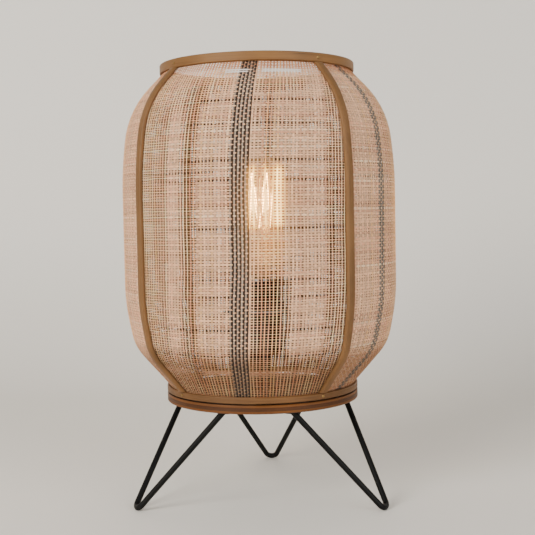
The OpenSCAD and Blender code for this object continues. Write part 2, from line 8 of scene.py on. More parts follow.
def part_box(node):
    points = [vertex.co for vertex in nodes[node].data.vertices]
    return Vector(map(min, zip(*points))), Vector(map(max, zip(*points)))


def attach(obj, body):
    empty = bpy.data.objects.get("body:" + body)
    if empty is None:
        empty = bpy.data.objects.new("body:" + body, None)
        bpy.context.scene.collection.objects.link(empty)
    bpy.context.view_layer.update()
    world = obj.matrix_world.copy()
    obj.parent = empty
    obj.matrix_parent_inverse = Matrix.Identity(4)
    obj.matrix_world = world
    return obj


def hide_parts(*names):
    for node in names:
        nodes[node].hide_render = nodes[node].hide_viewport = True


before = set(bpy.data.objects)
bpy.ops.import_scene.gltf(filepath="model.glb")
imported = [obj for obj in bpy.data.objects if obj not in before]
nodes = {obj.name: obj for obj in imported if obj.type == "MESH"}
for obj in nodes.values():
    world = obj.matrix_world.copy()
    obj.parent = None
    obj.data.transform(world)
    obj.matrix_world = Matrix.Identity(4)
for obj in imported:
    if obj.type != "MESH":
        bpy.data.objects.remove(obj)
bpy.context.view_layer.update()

MM = 0.001
rng = np.random.default_rng(7)


# ---------------------------------------------------------------- node helpers

def add(tree, kind, **values):
    """A new node with its plain properties and its numbered or named inputs set."""
    node = tree.nodes.new(kind)
    for key, value in values.items():
        if hasattr(node, key):
            setattr(node, key, value)
        else:
            node.inputs[key.replace("_", " ")].default_value = value
    return node


def link(tree, source, target):
    tree.links.new(source, target)


def math_node(tree, operation, a, b=None, c=None):
    node = tree.nodes.new("ShaderNodeMath")
    node.operation = operation
    for socket, value in zip(node.inputs, (a, b, c)):
        if value is None:
            continue
        if isinstance(value, (int, float)):
            socket.default_value = value
        else:
            link(tree, value, socket)
    return node.outputs[0]


def mix_colour(tree, factor, a, b, blend="MIX"):
    node = tree.nodes.new("ShaderNodeMix")
    node.data_type = "RGBA"
    node.blend_type = blend
    for socket, value in zip((node.inputs[0], node.inputs[6], node.inputs[7]), (factor, a, b)):
        if isinstance(value, (int, float, tuple)):
            socket.default_value = value
        else:
            link(tree, value, socket)
    return node.outputs[2]


def new_group(name, inputs, outputs):
    """A shader node group with the named inputs and outputs."""
    group = bpy.data.node_groups.new(name, "ShaderNodeTree")
    for label, kind, value in inputs:
        socket = group.interface.new_socket(name=label, in_out="INPUT", socket_type=kind)
        if value is not None:
            socket.default_value = value
    for label, kind in outputs:
        group.interface.new_socket(name=label, in_out="OUTPUT", socket_type=kind)
    start = group.nodes.new("NodeGroupInput")
    end = group.nodes.new("NodeGroupOutput")
    return group, start, end


def place_group(tree, group, **values):
    node = tree.nodes.new("ShaderNodeGroup")
    node.node_tree = group
    for key, value in values.items():
        node.inputs[key.replace("_", " ")].default_value = value
    return node


def new_material(name, **sockets):
    """A material with one Principled shader, its constant values set on its own sockets."""
    material = bpy.data.materials.new(name)
    material.use_nodes = True
    shader = material.node_tree.nodes["Principled BSDF"]
    for key, value in sockets.items():
        shader.inputs[key.replace("_", " ")].default_value = value
    return material, material.node_tree, shader


def linear(r, g, b):
    """A colour given as it looks on a screen, 0 to 255, in linear light."""
    def one(v):
        v /= 255
        return v / 12.92 if v <= 0.04045 else ((v + 0.055) / 1.055) ** 2.4
    return (one(r), one(g), one(b), 1.0)


def bump(tree, shader, height, distance, strength=1.0):
    node = tree.nodes.new("ShaderNodeBump")
    node.inputs["Distance"].default_value = distance
    node.inputs["Strength"].default_value = strength
    link(tree, height, node.inputs["Height"])
    link(tree, node.outputs["Normal"], shader.inputs["Normal"])


# ---------------------------------------------------------------- shared effects

def make_fibre_group():
    """Long fibres of split bamboo or plies: noise stretched along the grain, with dark pores."""
    group, start, end = new_group("bamboo fibre", [
        ("Vector", "NodeSocketVector", None),
        ("Along", "NodeSocketFloat", 12.0),
        ("Across", "NodeSocketFloat", 900.0),
        ("Light", "NodeSocketColor", (0.6, 0.4, 0.2, 1)),
        ("Dark", "NodeSocketColor", (0.4, 0.24, 0.1, 1)),
        ("Pore", "NodeSocketColor", (0.12, 0.06, 0.025, 1)),
    ], [("Color", "NodeSocketColor"), ("Height", "NodeSocketFloat"), ("Roughness", "NodeSocketFloat")])
    stretch = group.nodes.new("ShaderNodeCombineXYZ")
    split = group.nodes.new("ShaderNodeSeparateXYZ")
    link(group, start.outputs["Vector"], split.inputs[0])
    link(group, math_node(group, "MULTIPLY", split.outputs[0], start.outputs["Along"]), stretch.inputs[0])
    link(group, math_node(group, "MULTIPLY", split.outputs[1], start.outputs["Across"]), stretch.inputs[1])
    link(group, math_node(group, "MULTIPLY", split.outputs[2], start.outputs["Across"]), stretch.inputs[2])
    fibres = add(group, "ShaderNodeTexNoise", Scale=1.0, Detail=5.0, Roughness=0.62)
    link(group, stretch.outputs[0], fibres.inputs["Vector"])
    broad = add(group, "ShaderNodeTexNoise", Scale=26.0, Detail=2.0)
    link(group, start.outputs["Vector"], broad.inputs["Vector"])
    tone = mix_colour(group, fibres.outputs["Fac"], start.outputs["Dark"], start.outputs["Light"])
    patch_spread, patch_base = 0.7, 0.62
    shade = math_node(group, "MULTIPLY_ADD", broad.outputs["Fac"], patch_spread, patch_base)
    tinted = mix_colour(group, 1.0, tone, shade, "MULTIPLY")
    pore_level, pore_sharpness, pore_rounding = 0.36, 9.0, 0.2
    below = math_node(group, "SUBTRACT", pore_level, fibres.outputs["Fac"])
    steep = math_node(group, "MULTIPLY", below, pore_sharpness)
    pores = math_node(group, "SMOOTH_MIN", steep, 1.0, pore_rounding)
    pore_mask = math_node(group, "MAXIMUM", pores, 0.0)
    link(group, mix_colour(group, pore_mask, tinted, start.outputs["Pore"]), end.inputs["Color"])
    link(group, fibres.outputs["Fac"], end.inputs["Height"])
    rough_spread, rough_base = 0.25, 0.4
    rough = math_node(group, "MULTIPLY_ADD", fibres.outputs["Fac"], rough_spread, rough_base)
    link(group, rough, end.inputs["Roughness"])
    return group


def make_around_group():
    """Turns a place into (distance around the axis, height, distance from the axis)."""
    group, start, end = new_group("around the axis", [
        ("Radius", "NodeSocketFloat", 0.1),
    ], [("Vector", "NodeSocketVector")])
    place = group.nodes.new("ShaderNodeTexCoord")
    split = group.nodes.new("ShaderNodeSeparateXYZ")
    link(group, place.outputs["Object"], split.inputs[0])
    angle = math_node(group, "ARCTAN2", split.outputs[1], split.outputs[0])
    arc = math_node(group, "MULTIPLY", angle, start.outputs["Radius"])
    squares = math_node(group, "ADD", math_node(group, "POWER", split.outputs[0], 2.0),
        math_node(group, "POWER", split.outputs[1], 2.0))
    join = group.nodes.new("ShaderNodeCombineXYZ")
    link(group, arc, join.inputs[0])
    link(group, split.outputs[2], join.inputs[1])
    link(group, math_node(group, "SQRT", squares), join.inputs[2])
    link(group, join.outputs[0], end.inputs["Vector"])
    return group


def make_wear_group():
    """A mask that is 1 on worn outer edges and 0 elsewhere, with an uneven border."""
    group, start, end = new_group("edge wear", [
        ("Width", "NodeSocketFloat", 0.001),
        ("Amount", "NodeSocketFloat", 0.6),
    ], [("Mask", "NodeSocketFloat")])
    rounded = group.nodes.new("ShaderNodeBevel")
    rounded.samples = 4
    link(group, start.outputs["Width"], rounded.inputs["Radius"])
    place = group.nodes.new("ShaderNodeNewGeometry")
    dot = group.nodes.new("ShaderNodeVectorMath")
    dot.operation = "DOT_PRODUCT"
    link(group, rounded.outputs[0], dot.inputs[0])
    link(group, place.outputs["Normal"], dot.inputs[1])
    edge_gain = 6.0
    edge = math_node(group, "MULTIPLY", math_node(group, "SUBTRACT", 1.0, dot.outputs["Value"]), edge_gain)
    coords = group.nodes.new("ShaderNodeTexCoord")
    patch = add(group, "ShaderNodeTexNoise", Scale=180.0, Detail=3.0)
    link(group, coords.outputs["Object"], patch.inputs["Vector"])
    uneven = math_node(group, "MULTIPLY", edge, patch.outputs["Fac"])
    worn = math_node(group, "MULTIPLY", uneven, start.outputs["Amount"])
    link(group, math_node(group, "MINIMUM", worn, 1.0), end.inputs["Mask"])
    return group


def make_speckle_group():
    """Fine even grain, as on powder coat, moulded plastic and dull metal."""
    group, start, end = new_group("fine speckle", [
        ("Scale", "NodeSocketFloat", 1500.0),
        ("Base", "NodeSocketColor", (0.02, 0.02, 0.02, 1)),
        ("Spread", "NodeSocketFloat", 0.3),
        ("Roughness", "NodeSocketFloat", 0.5),
    ], [("Color", "NodeSocketColor"), ("Height", "NodeSocketFloat"), ("Roughness", "NodeSocketFloat")])
    coords = group.nodes.new("ShaderNodeTexCoord")
    fine = add(group, "ShaderNodeTexNoise", Detail=2.0)
    link(group, coords.outputs["Object"], fine.inputs["Vector"])
    link(group, start.outputs["Scale"], fine.inputs["Scale"])
    smudge = add(group, "ShaderNodeTexNoise", Scale=35.0, Detail=4.0)
    link(group, coords.outputs["Object"], smudge.inputs["Vector"])
    off_mean = math_node(group, "SUBTRACT", smudge.outputs["Fac"], 0.5)
    level = math_node(group, "MULTIPLY_ADD", off_mean, start.outputs["Spread"], 1.0)
    link(group, mix_colour(group, 1.0, start.outputs["Base"], level, "MULTIPLY"), end.inputs["Color"])
    link(group, fine.outputs["Fac"], end.inputs["Height"])
    rough_spread = 0.35
    rough = math_node(group, "MULTIPLY_ADD", off_mean, rough_spread, start.outputs["Roughness"])
    link(group, rough, end.inputs["Roughness"])
    return group


FIBRE = make_fibre_group()
AROUND = make_around_group()
WEAR = make_wear_group()
SPECKLE = make_speckle_group()


# ---------------------------------------------------------------- materials

def bamboo(name, light, dark, radius=None, across=900.0, along=14.0, wear=0.5):
    """Split bamboo. With a radius the grain runs around the axis, without one it runs up the rib."""
    material, tree, shader = new_material(name, Roughness=0.5, Specular_IOR_Level=0.25)
    pore_share, worn_share = 0.35, 1.25
    grain = place_group(tree, FIBRE, Along=along, Across=across, Light=light, Dark=dark,
        Pore=tuple(pore_share * c for c in dark[:3]) + (1.0,))
    if radius:
        around = place_group(tree, AROUND, Radius=radius)
        link(tree, around.outputs["Vector"], grain.inputs["Vector"])
    else:
        place = tree.nodes.new("ShaderNodeTexCoord")
        split = tree.nodes.new("ShaderNodeSeparateXYZ")
        join = tree.nodes.new("ShaderNodeCombineXYZ")
        link(tree, place.outputs["Object"], split.inputs[0])
        link(tree, split.outputs[2], join.inputs[0])
        link(tree, split.outputs[0], join.inputs[1])
        link(tree, split.outputs[1], join.inputs[2])
        link(tree, join.outputs[0], grain.inputs["Vector"])
    worn = place_group(tree, WEAR, Width=0.9 * MM, Amount=wear)
    pale = tuple(min(1.0, worn_share * c) for c in light[:3]) + (1.0,)
    colour = mix_colour(tree, worn.outputs["Mask"], grain.outputs["Color"], pale)
    link(tree, colour, shader.inputs["Base Color"])
    link(tree, grain.outputs["Roughness"], shader.inputs["Roughness"])
    bump(tree, shader, grain.outputs["Height"], 0.25 * MM, 0.6)
    return material


def plywood(name, low, ply):
    """Three bamboo plies seen on edge, the middle one darker, with the glue lines between them."""
    material, tree, shader = new_material(name, Roughness=0.55, Specular_IOR_Level=0.25)
    around = place_group(tree, AROUND, Radius=0.1)
    pale = place_group(tree, FIBRE, Along=10.0, Across=700.0, Light=linear(122, 74, 30),
        Dark=linear(84, 47, 17), Pore=linear(60, 36, 18))
    deep = place_group(tree, FIBRE, Along=260.0, Across=900.0, Light=linear(90, 53, 21),
        Dark=linear(57, 30, 10), Pore=linear(44, 26, 14))
    for grain in (pale, deep):
        link(tree, around.outputs["Vector"], grain.inputs["Vector"])
    split = tree.nodes.new("ShaderNodeSeparateXYZ")
    link(tree, around.outputs["Vector"], split.inputs[0])
    layer = math_node(tree, "DIVIDE", math_node(tree, "SUBTRACT", split.outputs[1], low), ply)
    half_ply = 0.5
    middle = math_node(tree, "COMPARE", layer, 3 * half_ply, half_ply)
    colour = mix_colour(tree, middle, pale.outputs["Color"], deep.outputs["Color"])
    half_up = math_node(tree, "FRACT", math_node(tree, "ADD", layer, half_ply))
    glue_gap = math_node(tree, "ABSOLUTE", math_node(tree, "SUBTRACT", half_up, half_ply))
    glue_half_width = 0.045
    glue = math_node(tree, "LESS_THAN", glue_gap, glue_half_width)
    link(tree, mix_colour(tree, glue, colour, linear(48, 28, 14)), shader.inputs["Base Color"])
    link(tree, pale.outputs["Roughness"], shader.inputs["Roughness"])
    bump(tree, shader, pale.outputs["Height"], 0.2 * MM, 0.5)
    return material


def speckled(name, base, scale=1500.0, spread=0.3, roughness=0.5, depth=0.05, wear=None, **sockets):
    """Powder coat, moulded plastic or plain metal with a fine grain, and worn edges if asked for."""
    material, tree, shader = new_material(name, **sockets)
    grain = place_group(tree, SPECKLE, Scale=scale, Base=base, Spread=spread, Roughness=roughness)
    colour = grain.outputs["Color"]
    if wear:
        worn = place_group(tree, WEAR, Width=0.4 * MM, Amount=0.5)
        colour = mix_colour(tree, worn.outputs["Mask"], colour, wear)
    link(tree, colour, shader.inputs["Base Color"])
    link(tree, grain.outputs["Roughness"], shader.inputs["Roughness"])
    bump(tree, shader, grain.outputs["Height"], depth * MM, 0.5)
    return material


def linen_yarn(name):
    """Hand-spun yarn: each thread's own colour with its painted shade, streaked by its fibres, and the
    bulb's light in it.
    """
    material, tree, shader = new_material(name, Roughness=0.85, Specular_IOR_Level=0.2,
        Sheen_Weight=0.15, Sheen_Roughness=0.5)
    shader.inputs["Sheen Tint"].default_value = (1.0, 0.9, 0.8, 1.0)
    yarn = add(tree, "ShaderNodeAttribute", attribute_name="yarn")
    place = tree.nodes.new("ShaderNodeUVMap")
    place.uv_map = "Lay"
    stretch = tree.nodes.new("ShaderNodeMapping")
    stretch.inputs["Scale"].default_value = (220.0, 5200.0, 1.0)
    link(tree, place.outputs[0], stretch.inputs[0])
    fibres = add(tree, "ShaderNodeTexNoise", Scale=1.0, Detail=4.0, Roughness=0.65)
    link(tree, stretch.outputs[0], fibres.inputs["Vector"])
    fibre_spread, fibre_base = 0.7, 0.65
    level = math_node(tree, "MULTIPLY_ADD", fibres.outputs["Fac"], fibre_spread, fibre_base)
    link(tree, mix_colour(tree, 1.0, yarn.outputs["Color"], level, "MULTIPLY"), shader.inputs["Base Color"])
    glow = add(tree, "ShaderNodeAttribute", attribute_name="glow")
    faint, bright, gain = (1.0, 0.40, 0.07, 1.0), (1.0, 0.64, 0.22, 1.0), 3.6
    link(tree, mix_colour(tree, glow.outputs["Fac"], faint, bright), shader.inputs["Emission Color"])
    link(tree, math_node(tree, "MULTIPLY", glow.outputs["Fac"], gain), shader.inputs["Emission Strength"])
    bump(tree, shader, fibres.outputs["Fac"], 0.15 * MM, 0.8)
    return material


def glass(name, tint, roughness=0.0, lit=None):
    """Blown glass. lit is the height and reach of the glow that a lit filament gives it."""
    material, tree, shader = new_material(name, Base_Color=tint, Roughness=roughness, IOR=1.46,
        Transmission_Weight=1.0)
    if lit:
        height, reach = lit
        strength = 0.12
        place = tree.nodes.new("ShaderNodeTexCoord")
        split = tree.nodes.new("ShaderNodeSeparateXYZ")
        link(tree, place.outputs["Object"], split.inputs[0])
        away = math_node(tree, "DIVIDE", math_node(tree, "SUBTRACT", split.outputs[2], height), reach)
        squared = math_node(tree, "MULTIPLY", away, away)
        fall = math_node(tree, "EXPONENT", math_node(tree, "MULTIPLY", squared, -1.0))
        shader.inputs["Emission Color"].default_value = (1.0, 0.56, 0.22, 1.0)
        link(tree, math_node(tree, "MULTIPLY", fall, strength), shader.inputs["Emission Strength"])
    return material


def glowing(name, colour, strength):
    """A surface that gives light of its own, the same all over."""
    return new_material(name, Base_Color=colour, Roughness=0.4, Emission_Color=colour,
        Emission_Strength=strength)[0]


def paint(material, *names):
    """Gives CAD nodes this material."""
    for name in names:
        mesh = nodes[name].data
        mesh.materials.clear()
        mesh.materials.append(material)


def paint_bamboo():
    hoop_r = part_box("top_hoop")[1].x
    base_low, base_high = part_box("base_plate")
    plies = 3
    paint(bamboo("bamboo hoop", linear(148, 107, 62), linear(102, 68, 36), radius=hoop_r),
        "top_hoop", "top_hoop_inner")
    # Painted shade: the bottom hoops get the same bamboo as the top ones, made darker
    paint(bamboo("bamboo hoop low painted shade", linear(126, 88, 50), linear(86, 56, 29), radius=hoop_r),
        "bottom_hoop", "bottom_hoop_inner")
    paint(bamboo("bamboo rib", linear(138, 99, 58), linear(94, 63, 34), along=10.0, across=1100.0),
        "rib_1", "rib_2", "rib_3", "rib_4")
    paint(plywood("bamboo plywood", base_low.z, (base_high.z - base_low.z) / plies), "base_plate")


def paint_black_parts():
    paint(speckled("black powder coat", (0.005, 0.0045, 0.004, 1), scale=1800.0, roughness=0.45,
        depth=0.06, wear=(0.02, 0.018, 0.016, 1), Specular_IOR_Level=0.14),
        "hairpin_leg_1", "hairpin_leg_2", "hairpin_leg_3", "stem_flange", "stem_tube")
    paint(speckled("black wire enamel", (0.018, 0.017, 0.017, 1), roughness=0.4, depth=0.03),
        "fitter_ring", "fitter_arms", "fitter_pads", "leg_screws")
    paint(speckled("black bakelite", (0.010, 0.009, 0.009, 1), scale=700.0, roughness=0.22, depth=0.02,
        Coat_Weight=0.3, Coat_Roughness=0.1), "holder_cap", "holder_skirt", "shade_nut")
    paint(speckled("black rubbery plastic", (0.016, 0.016, 0.016, 1), roughness=0.6), "cord_bush")
    paint(speckled("black insulating glass", (0.01, 0.01, 0.014, 1), roughness=0.12), "bulb_insulator")


def paint_metal_and_ceramic():
    paint(speckled("zinc plate", (0.55, 0.55, 0.54, 1), scale=900.0, roughness=0.35, Metallic=1.0),
        "nipple", "lock_nut", "lock_washer", "ring_washer", "fitter_rivets", "terminal_screws")
    paint(speckled("brass", linear(190, 150, 90), scale=900.0, roughness=0.3, Metallic=1.0),
        "centre_contact", "side_contacts", "screw_sleeve", "lead_wires")
    paint(speckled("dull brass pins", linear(150, 120, 74), scale=900.0, roughness=0.45, Metallic=1.0),
        "hoop_pins")
    paint(speckled("plated cap", (0.70, 0.68, 0.63, 1), scale=700.0, roughness=0.28, depth=0.03,
        Metallic=1.0), "bulb_cap")
    paint(speckled("solder", (0.50, 0.50, 0.48, 1), scale=500.0, roughness=0.5, depth=0.1,
        Metallic=1.0), "bulb_tip")
    paint(speckled("hook wire", (0.4, 0.4, 0.4, 1), roughness=0.35, Metallic=1.0), "filament_hooks")
    paint(speckled("steatite", linear(226, 220, 206), scale=600.0, spread=0.15, roughness=0.6),
        "holder_core")


def paint_bulb():
    low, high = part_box("filament")
    glow_reach = 0.05
    paint(glass("amber bulb glass", (1.0, 0.86, 0.66, 1.0), lit=((low.z + high.z) / 2, glow_reach)),
        "bulb_glass")
    paint(glass("clear stem glass", (0.96, 0.97, 0.95, 1.0), 0.05), "bulb_mount")
    paint(glowing("glowing filament", (1.0, 0.60, 0.25, 1.0), 28.0), "filament")


# ---------------------------------------------------------------- woven linen

# Sizes of the weave. A cover is a yarn's width as a share of its pitch; a stripe has a second, dark yarn
# beside each warp, which lies higher and waves less
WARP_PITCH = 3.7 * MM
WEFT_PITCH = 2.65 * MM
WARP_COVER = 0.61
WEFT_COVER = 0.87
STRIPE_COVER = 0.74
# How much of a cloth's tightness its wefts take, where the warps take all of it
WEFT_TIGHT = 0.8
STRIPE_LIFT = 0.35
STRIPE_WAVE = 0.5
WARP_SAMPLES = 400
SHORTEST_WARP = 4
YARN_HALF_THICK = 0.22 * MM
YARN_WAVE = 0.24 * MM
WARP_SIDES = 6
WEFT_SIDES = 5
CLOTH_DEPTH = 0.4 * MM
EDGE_SPARE = 6 * MM
EDGE_CLEARANCE = 0.5 * MM
SLOPE_STEP = 0.6 * MM
GATHER = 0.5
# Height at which the upright yarns stand straight, and how far from it the skew is reached, in metres
LEAN_MIDDLE = 0.289
LEAN_REACH = 0.141

# How much of its cover a yarn loses where the weave is open, and how a gapped row (its two nearest
# wefts, the next two) thins them and pushes them apart, in mm. A weft has thin places of its own
WARP_THINNING = 0.25
WEFT_THINNING = 0.55
WARP_AT_GAP = 0.25
WEFT_AT_GAP = (0.42, 0.1)
GAP_PUSH = (0.6, 0.25)
GAP_FADE = 3
THIN_PLACE = 0.66
THIN_LEVEL = 0.4

# The sewn line of the hem: reach in height and half width as shares of the pitch, and its wave
HEM_REACH = 0.6
HEM_HALF_WIDTH = 0.36
HEM_WAVE = 1.3

# How uneven the yarns are: along one of them (places per turn, lowest, highest), and between them
WARP_UNEVEN = dict(width=(5, 0.88, 1.12), thick=(7, 0.85, 1.2), tone=(9, 0.86, 1.1),
    drift=(18, -0.42, 0.42))
WEFT_UNEVEN = dict(width=(8, 0.88, 1.12), thick=(6, 0.85, 1.2), tone=(7, 0.84, 1.1),
    drift=(14, -0.22, 0.22), thin=(11, -1, 1))
WARP_SPREAD = dict(width=(0.92, 1.08), tone=(0.78, 1.08))
WEFT_SPREAD = dict(width=(0.92, 1.06), tone=(0.74, 1.08))

# Each yarn's flat strip in the two maps: its width, the step to the next yarn in the grain's map, and
# that step in the baking map as a share of the width
STRIP_WIDTH = 0.0026
GRAIN_STEP = 0.011
BAKE_STEP = 1.08

# Yarn colours
NATURAL = np.array(linear(239, 188, 147)[:3])
PINK = np.array(linear(233, 174, 136)[:3])
SAND = np.array(linear(238, 185, 130)[:3])
PALE = np.array(linear(248, 206, 168)[:3])
RUST = np.array(linear(190, 122, 84)[:3])
COOL = np.array(linear(160, 144, 128)[:3])
CHARCOAL = np.array(linear(52, 42, 35)[:3])
HEM = np.array(linear(242, 232, 222)[:3])
TINT_SHARE = 0.4
BRIGHTEST = 0.95
WARP_COLOURS = dict(rare=0.3, common=NATURAL, third_share=0.5, second=SAND, third=PINK)
WEFT_COLOURS = dict(rare=0.35, common=NATURAL, third_share=0.3, second=PINK, third=PALE)

# Red, green and blue: gained where the weave is open, lost where the bulb's light comes through, and
# left over by painted shade at the foot of the cloth, under the top hoop and on the yarns' inner side
OPEN_GAIN = np.array([0.34, 0.22, 0.14])
AMBER_LOSS = np.array([0.0, 0.14, 0.55])
LOW_PAINTED_SHADE = np.array([0.46, 0.40, 0.34])
HIGH_PAINTED_SHADE = np.array([0.72, 0.57, 0.47])
INSIDE_PAINTED_SHADE = np.array([0.12, 0.085, 0.06])
AMBER_RISE = 2.5
INNER_SIDE = -0.01

# Heights in mm: where the painted shade at the foot ends and the painted shade under the top hoop starts,
# and how far each takes to fade
LOW_END, LOW_FADE = 176, 22
HIGH_START, HIGH_FADE = 440, 3

# The bulb's light in the cloth, in mm: two soft clouds (height, reach up, reach across), and the band
# of heights in which the filament's streaks show
CLOUDS = [(310, 34, 22), (266, 20, 15)]
CLOUD_GLOW = 0.10
BAND_LOW, BAND_HIGH, BAND_EDGE = 289, 345, 1.5

# The front panel, in mm. Open places: (from, to) across, (from, to) in height, openness
FRONT_OPEN = [
    (-115, -75, 150, 408, 1.1), (-61, -39, 120, 425, 1.15), (13, 52, 160, 243, 1.25),
    (88, 115, 120, 425, 1.1), (25, 34, 345, 420, 0.9), (-115, -35, 400, 452, 0.75),
    (14, 66, 419, 432, 0.9), (-35, -12, 417, 433, 0.7), (-115, 115, 441, 460, 0.3),
    (88, 115, 395, 452, 0.9), (-115, 115, 110, 145, 1.05), (-115, 115, 151, 164, 1.05),
    (11, 49, 243, 289, 0.45), (11, 49, 289, 346, 0.72), (-6, 12, 120, 460, 0.55),
]
# Rows with a gap: height, (from, to) across, width of the gap as a share of a full one
FRONT_ROWS = [
    (410, -42, 92, 1.0), (386, -56, -8, 0.8), (386, 8, 88, 0.9), (351, -56, 100, 0.9),
    (340, -110, -20, 0.8), (333, -92, -3, 0.6), (333, 45, 110, 0.9), (287, -45, 110, 1.0),
    (287, -75, -45, 0.5), (261.5, 50, 90, 0.5), (239, -40, -3, 0.9), (239, -75, -40, 0.4),
    (239, 52, 90, 0.9), (224, -40, -3, 0.8), (224, 52, 90, 0.9), (209.5, -14, -3, 1.0),
    (192.5, -95, -3, 0.9), (192.5, 50, 100, 0.9), (166, -110, 110, 0.8),
]
# Stripes and tints: (from, to) across. Streaks: place across, reach, glow. Hem: height, (from, to) across
FRONT = dict(open=FRONT_OPEN, rows=FRONT_ROWS, stripes=[(-6, 11)], tight=0.0, lit=29,
    tints=[(-48, -38, RUST), (24, 34, RUST)],
    streaks=[(15.5, 3.2, 0.9), (28, 3.0, 0.7), (39.5, 4.2, 1.2)],
    hem=[(439.5, -22, 2), (439.5, 19, 64)])


def made_up_cloth(stripe):
    """A further length of the same cloth: open columns, gapped rows and one dark stripe."""
    side, foot, top, row_side, first_row = 118, 120, 440, 115, 168.0
    stripe_width, tint_width, tint_chance, row_spare, tight = 14, 8, 0.6, 25, 0.13
    places, rows, tints = [], [], []
    s = float(-side)
    while s < side - tint_width:
        wide = rng.uniform(12, 26)
        places.append((s, s + wide, foot, top, rng.uniform(0.15, 0.35)))
        if rng.uniform() > tint_chance:
            tints.append((s, s + tint_width, RUST))
        s += wide + rng.uniform(14, 38)
    z = first_row
    while z < top:
        a, b = np.sort(rng.uniform(-row_side, row_side, 2))
        rows.append((z, a - row_spare, b + row_spare, rng.uniform(0.25, 0.5)))
        z += rng.uniform(9, 30)
    places += [(-side, side, 442, 460, 0.35), (-side, side, 110, 160, 0.25)]
    return dict(open=places, rows=rows, stripes=[(stripe, stripe + stripe_width)], tints=tints,
        tight=tight, lit=0, streaks=[], hem=[])


def smooth_noise(count, step, low, high):
    """Smooth random values at count places, turning about every step places."""
    knots = rng.uniform(low, high, int(count / step) + 4)
    at = np.linspace(0, len(knots) - 1.001, count)
    i = at.astype(int)
    t = at - i
    t = t * t * (3 - 2 * t)
    return knots[i] * (1 - t) + knots[i + 1] * t


def pick(rare, common, third_share, second, third):
    """The common colour, or in a rare share of cases the third one or else the second."""
    if rng.uniform() > rare:
        return common
    return second if rng.uniform() > third_share else third


def openness(cloth, s, z):
    """How open the weave is at places given in mm across and in height: 0 closed, 1 or more open."""
    s, z = np.broadcast_arrays(np.asarray(s, float), np.asarray(z, float))
    value = np.zeros(s.shape)
    for a, b, low, high, much in cloth["open"]:
        value = np.where((s >= a) & (s < b) & (z >= low) & (z < high), np.maximum(value, much), value)
    return value


def lightened(cloth, tone, s, z):
    """A yarn's colours, lighter where the weave is open."""
    return np.minimum(tone * (1 + openness(cloth, s, z)[:, None] * OPEN_GAIN), BRIGHTEST)


def tinted(tone, z, glow):
    """A yarn's colours, warmer in the bulb's light and darker with painted shade at the two ends of the
    cloth.
    """
    tone = tone * (1 - np.clip(AMBER_RISE * glow, 0, 1)[:, None] * AMBER_LOSS)
    # Painted shade: the cloth is darkened towards its foot and under the top hoop
    low = np.clip((LOW_END - z) / LOW_FADE, 0, 1)[:, None]
    high = np.clip((z - HIGH_START) / HIGH_FADE, 0, 1)[:, None]
    return tone * (1 - low * (1 - LOW_PAINTED_SHADE)) * (1 - high * (1 - HIGH_PAINTED_SHADE))


def bulb_glow(cloth, s, z):
    """The bulb's light in the cloth, strongest in the streaks level with the filament."""
    broad = sum(CLOUD_GLOW * np.exp(-((z - height) / up) ** 2 - ((s - cloth["lit"]) / across) ** 2)
        for height, up, across in CLOUDS)
    level = 1 / (1 + np.exp(-(z - BAND_LOW) / BAND_EDGE)) / (1 + np.exp((z - BAND_HIGH) / BAND_EDGE))
    return broad + level * sum(
        (bright * np.exp(-((s - at) / wide) ** 2) for at, wide, bright in cloth["streaks"]), 0.0)


class Wall:
    """The curved wall that one panel covers, read from the CAD mesh of its node."""

    def __init__(self, node, skew):
        co = np.array([v.co for v in nodes[node].data.vertices])
        facing = co.mean(0)
        self.middle = math.atan2(facing[1], facing[0])
        turned = (np.arctan2(co[:, 1], co[:, 0]) - self.middle + math.pi) % (2 * math.pi) - math.pi
        self.reach = np.abs(turned).max()
        self.line = self.outline(co)
        self.lengths = np.r_[0, np.cumsum(np.linalg.norm(np.diff(self.line, axis=0), axis=1))]
        self.total = self.lengths[-1]
        self.belly = self.line[:, 0].max()
        self.skew = skew

    def outline(self, co):
        """The outer line of the wall, as radius and height from the bottom up."""
        points = np.unique(np.round(np.c_[np.hypot(co[:, 0], co[:, 1]), co[:, 2]], 5), axis=0)
        gap = np.linalg.norm(points[:, None] - points[None], axis=2) + np.eye(len(points))
        nearest = gap.argmin(1)
        outer = points[points[nearest, 0] < points[:, 0]]
        return outer[outer[:, 1].argsort()]

    def line_at(self, d):
        """Radius and height at distances along the outline."""
        radius, height = self.line.T
        return np.c_[np.interp(d, self.lengths, radius), np.interp(d, self.lengths, height)]

    def evenly(self, step):
        """Distances along the outline, about a step apart, a quarter step in from both ends."""
        return np.linspace(0.25 * step, self.total - 0.25 * step, int(self.total / step))

    def spread_radius(self, r):
        """The radius that the yarns' spacing goes by: they gather a little where the wall draws in."""
        return self.belly ** (1 - GATHER) * r ** GATHER

    def lean(self, z):
        """How far the upright yarns lean sideways at a height."""
        t = (z - LEAN_MIDDLE) / LEAN_REACH
        return self.skew * t * np.abs(t)

    def place(self, along, across, lift):
        """Points on the cloth, and the directions across it, up along it and out of it at each."""
        rz = self.line_at(along)
        ahead = (self.line_at(np.minimum(along + SLOPE_STEP, self.total))
            - self.line_at(np.maximum(along - SLOPE_STEP, 0)))
        ahead /= np.linalg.norm(ahead, axis=1)[:, None]
        angle = self.middle + np.clip(across / self.spread_radius(rz[:, 0]), -self.reach, self.reach)
        radial = np.c_[np.cos(angle), np.sin(angle), np.zeros(len(angle))]
        up = np.array([0, 0, 1.0])
        side = np.c_[-np.sin(angle), np.cos(angle), np.zeros(len(angle))]
        climb = radial * ahead[:, :1] + up * ahead[:, 1:]
        out = radial * ahead[:, 1:] - up * ahead[:, :1]
        base = radial * rz[:, :1] + up * rz[:, 1:]
        return base + out * (lift - CLOTH_DEPTH)[:, None], side, climb, out


